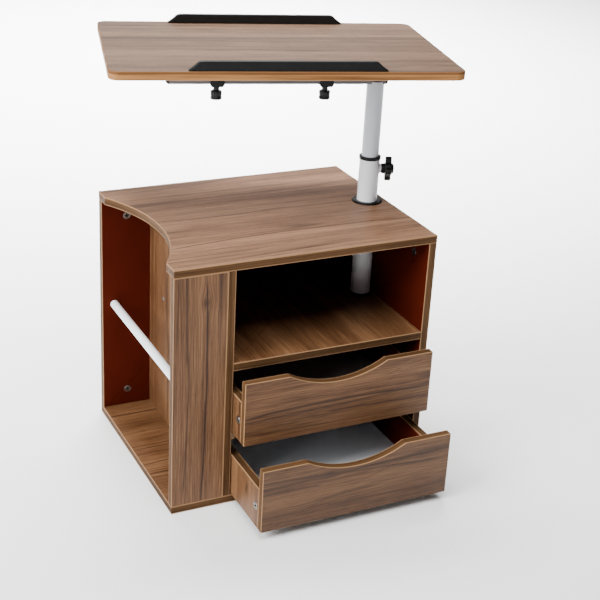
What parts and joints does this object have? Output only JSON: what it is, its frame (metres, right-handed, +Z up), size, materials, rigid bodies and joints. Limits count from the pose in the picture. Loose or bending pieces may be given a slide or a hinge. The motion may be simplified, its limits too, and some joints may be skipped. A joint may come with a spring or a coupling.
{
  "type": "laptop stand with drawer",
  "caption": "Bedside cabinet with scooped drawers, an open compartment and a magazine bay, and a laptop board that swivels, lifts and tilts on a steel post.",
  "frame": {"origin": "centre of the cabinet's rectangular underside, on the floor", "axes": "+X to the right seen from the front, +Y from the drawer side to the back panel, +Z up"},
  "size_m": [0.675, 0.6518, 0.7875],
  "materials": {
    "walnut_laminate": "satin laminate on 15 mm board",
    "grey_hardboard": "smooth coated face",
    "white_painted_steel": "smooth powder coat",
    "zinc_alloy": "as cast",
    "zinc_plated_steel": "plated",
    "beech": "bare",
    "white_nylon": "moulded",
    "black_plastic": "moulded, slight sheen"
  },
  "bodies": {
    "cabinet": {"top_board": "walnut_laminate", "bottom_board": "walnut_laminate", "back_panel": "walnut_laminate", "front_panel": "walnut_laminate", "partition": "walnut_laminate", "right_side_panel": "walnut_laminate", "shelf": "walnut_laminate", "magazine_rod": "white_painted_steel", "cabinet_cams": "zinc_alloy", "cabinet_cam_bolts": "zinc_plated_steel", "cabinet_dowels": "beech", "board_screws": "zinc_plated_steel", "drawer_runners": "beech", "runner_screws": "zinc_plated_steel", "upper_glide_strips": "white_nylon", "lower_glide_strips": "white_nylon", "glide_screws": "zinc_plated_steel", "post_flange": "black_plastic", "post_socket": "black_plastic"},
    "upper_drawer": {"upper_drawer_front": "walnut_laminate", "upper_drawer_left_side": "walnut_laminate", "upper_drawer_right_side": "walnut_laminate", "upper_drawer_back": "walnut_laminate", "upper_drawer_bottom": "grey_hardboard", "upper_drawer_cams": "zinc_alloy", "upper_drawer_cam_bolts": "zinc_plated_steel", "upper_drawer_screws": "zinc_plated_steel"},
    "lower_drawer": {"lower_drawer_front": "walnut_laminate", "lower_drawer_left_side": "walnut_laminate", "lower_drawer_right_side": "walnut_laminate", "lower_drawer_back": "walnut_laminate", "lower_drawer_bottom": "grey_hardboard", "lower_drawer_cams": "zinc_alloy", "lower_drawer_cam_bolts": "zinc_plated_steel", "lower_drawer_screws": "zinc_plated_steel"},
    "swivel_post": {"outer_tube": "white_painted_steel", "collar_bush": "black_plastic", "weld_nut": "white_painted_steel"},
    "height_clamp": {"star_knob": "black_plastic", "clamp_screw": "zinc_plated_steel"},
    "board_carrier": {"inner_tube": "white_painted_steel", "inner_tube_guide": "white_nylon", "crossbar": "white_painted_steel", "crossbar_caps": "black_plastic", "left_saddle": "black_plastic", "right_saddle": "black_plastic", "left_pivot_pin": "zinc_plated_steel", "right_pivot_pin": "zinc_plated_steel"},
    "left_bracket_clamp": {"left_bracket_knob": "black_plastic", "left_knob_bolt": "zinc_plated_steel"},
    "right_bracket_clamp": {"right_bracket_knob": "black_plastic", "right_knob_bolt": "zinc_plated_steel"},
    "tilting_board": {"laptop_board": "walnut_laminate", "front_stopper": "black_plastic", "rear_stopper": "black_plastic", "left_leaf": "black_plastic", "right_leaf": "black_plastic", "leaf_screws": "zinc_plated_steel", "stopper_screws": "zinc_plated_steel"}
  },
  "joints": [
    {"name": "upper_drawer_slide", "type": "slide", "parent": "cabinet", "child": "upper_drawer", "axis": [0, -1, 0], "range_m": [-0.049, 0.211]},
    {"name": "lower_drawer_slide", "type": "slide", "parent": "cabinet", "child": "lower_drawer", "axis": [0, -1, 0], "range_m": [-0.1345, 0.1255]},
    {"name": "post_swivel", "type": "hinge", "parent": "cabinet", "child": "swivel_post", "pos_m": [0.213, 0, 0.47], "axis": [0, 0, 1], "continuous": true},
    {"name": "post_height", "type": "slide", "parent": "swivel_post", "child": "board_carrier", "axis": [0, 0, 1], "range_m": [-0.135, 0.075]},
    {"name": "board_tilt", "type": "hinge", "parent": "board_carrier", "child": "tilting_board", "pos_m": [0.02658, 0.04995, 0.739], "axis": [0.9659, -0.2588, 0], "range_deg": [-33.7, 36.3]},
    {"name": "height_clamp_turn", "type": "hinge", "parent": "swivel_post", "child": "height_clamp", "pos_m": [0.24019, -0.01268, 0.535], "axis": [0.9063, -0.4226, 0], "range_deg": [0, 360]},
    {"name": "left_bracket_knob_turn", "type": "hinge", "parent": "board_carrier", "child": "left_bracket_clamp", "pos_m": [-0.06905, 0.07558, 0.676], "axis": [0, 0, -1], "range_deg": [0, 360]},
    {"name": "right_bracket_knob_turn", "type": "hinge", "parent": "board_carrier", "child": "right_bracket_clamp", "pos_m": [0.1222, 0.02433, 0.676], "axis": [0, 0, -1], "range_deg": [0, 360]}
  ]
}
